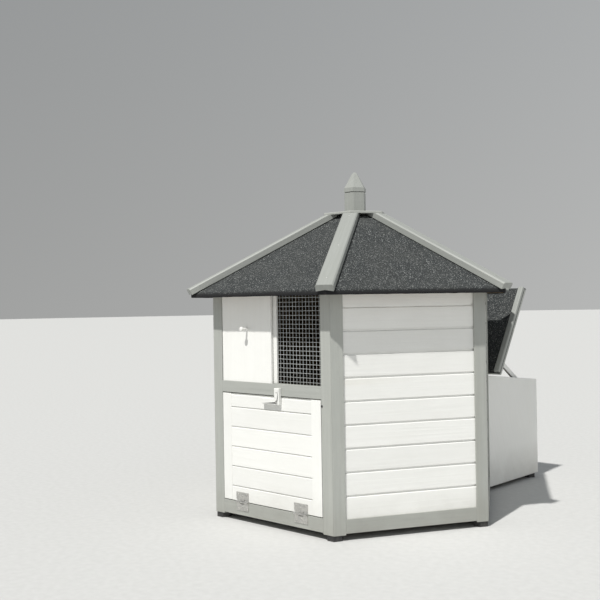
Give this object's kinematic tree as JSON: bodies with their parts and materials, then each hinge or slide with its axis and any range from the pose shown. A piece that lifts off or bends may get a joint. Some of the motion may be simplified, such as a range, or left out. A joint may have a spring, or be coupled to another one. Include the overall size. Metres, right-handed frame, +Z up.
{
  "type": "rabbit hutch",
  "caption": "Six-sided two-storey wooden rabbit hutch with felt pyramid roof, drop door, sliding door, wire window and nest-box wing with propped lid.",
  "frame": {"origin": "centre of the footprint on the ground", "axes": "+X to the right seen from the front, +Y from the front wall to the nest-box wing, +Z up"},
  "size_m": [1.3974, 1.5682, 1.357],
  "materials": {
    "grey_paint": "grey painted pine, satin",
    "white_paint": "white painted pine, satin",
    "bare_wood": "unpainted pine",
    "mineral_felt": "mineral-surfaced roofing felt",
    "galvanised_wire": "galvanised",
    "hinge_steel": "zinc plated",
    "foot_plastic": "matte black"
  },
  "bodies": {
    "hutch": {"bottom_rails": "grey_paint", "door_hinge_fixed_leaves": "hinge_steel", "feet": "foot_plastic", "finial_cap": "grey_paint", "finial_post": "grey_paint", "floor_bearers": "bare_wood", "front_stiles": "grey_paint", "head_rail": "grey_paint", "hinge_rail": "white_paint", "hip_batten_1": "grey_paint", "hip_batten_2": "grey_paint", "hip_batten_3": "grey_paint", "hip_batten_4": "grey_paint", "hip_batten_5": "grey_paint", "hip_batten_6": "grey_paint", "left_front_boards": "white_paint", "left_front_stiles": "grey_paint", "left_rear_boards": "white_paint", "left_rear_stiles": "grey_paint", "lid_hinge_fixed_leaves": "hinge_steel", "lower_floor": "bare_wood", "middle_rail": "grey_paint", "ramp_board": "bare_wood", "ramp_cleats": "bare_wood", "rear_boards": "white_paint", "rear_stiles": "grey_paint", "right_front_boards": "white_paint", "right_front_stiles": "grey_paint", "right_rear_boards": "white_paint", "right_rear_stiles": "grey_paint", "roof_decks": "bare_wood", "roof_felt": "mineral_felt", "roof_plate": "grey_paint", "stay_ledge": "white_paint", "top_rails": "bare_wood", "upper_floor": "bare_wood", "window_divider": "white_paint", "window_mesh": "galvanised_wire", "wing_back_boards": "white_paint", "wing_floor": "bare_wood", "wing_posts": "white_paint", "wing_side_left": "white_paint", "wing_side_right": "white_paint"},
    "drop_door": {"door_boards": "white_paint", "door_stiles": "white_paint", "door_ledges": "white_paint", "door_hinge_moving_leaves": "hinge_steel", "door_hinge_pins": "hinge_steel", "latch_screw": "hinge_steel"},
    "turn_latch": {"latch_bar": "white_paint"},
    "sliding_door": {"sliding_panel": "white_paint", "sliding_knob": "white_paint"},
    "wing_lid": {"lid_deck": "grey_paint", "lid_felt": "mineral_felt", "lid_battens": "grey_paint", "lid_hinge_moving_leaves": "hinge_steel", "lid_hinge_pins": "hinge_steel", "stay_bracket": "bare_wood"},
    "lid_stay": {"lid_stay": "white_paint"}
  },
  "joints": [
    {"name": "drop_door_hinge", "type": "hinge", "parent": "hutch", "child": "drop_door", "pos_m": [0, -0.68973, 0.0766], "axis": [1, 0, 0], "range_deg": [0, 95]},
    {"name": "latch_turn", "type": "hinge", "parent": "drop_door", "child": "turn_latch", "pos_m": [0.049, -0.6913, 0.469], "axis": [0, -1, 0], "range_deg": [0, 90]},
    {"name": "sliding_door_slide", "type": "slide", "parent": "hutch", "child": "sliding_door", "axis": [1, 0, 0], "range_m": [0, 0.238]},
    {"name": "lid_hinge", "type": "hinge", "parent": "hutch", "child": "wing_lid", "pos_m": [0, 0.3761, 0.4966], "axis": [1, 0, 0], "range_deg": [-63.9, 0]},
    {"name": "stay_fold", "type": "hinge", "parent": "wing_lid", "child": "lid_stay", "pos_m": [0.268, 0.4486, 0.58921], "axis": [1, 0, 0], "range_deg": [0, 90]}
  ],
  "couplings": [
    {"joint": "stay_fold", "follows": "lid_hinge", "ratio": -1.4057}
  ]
}
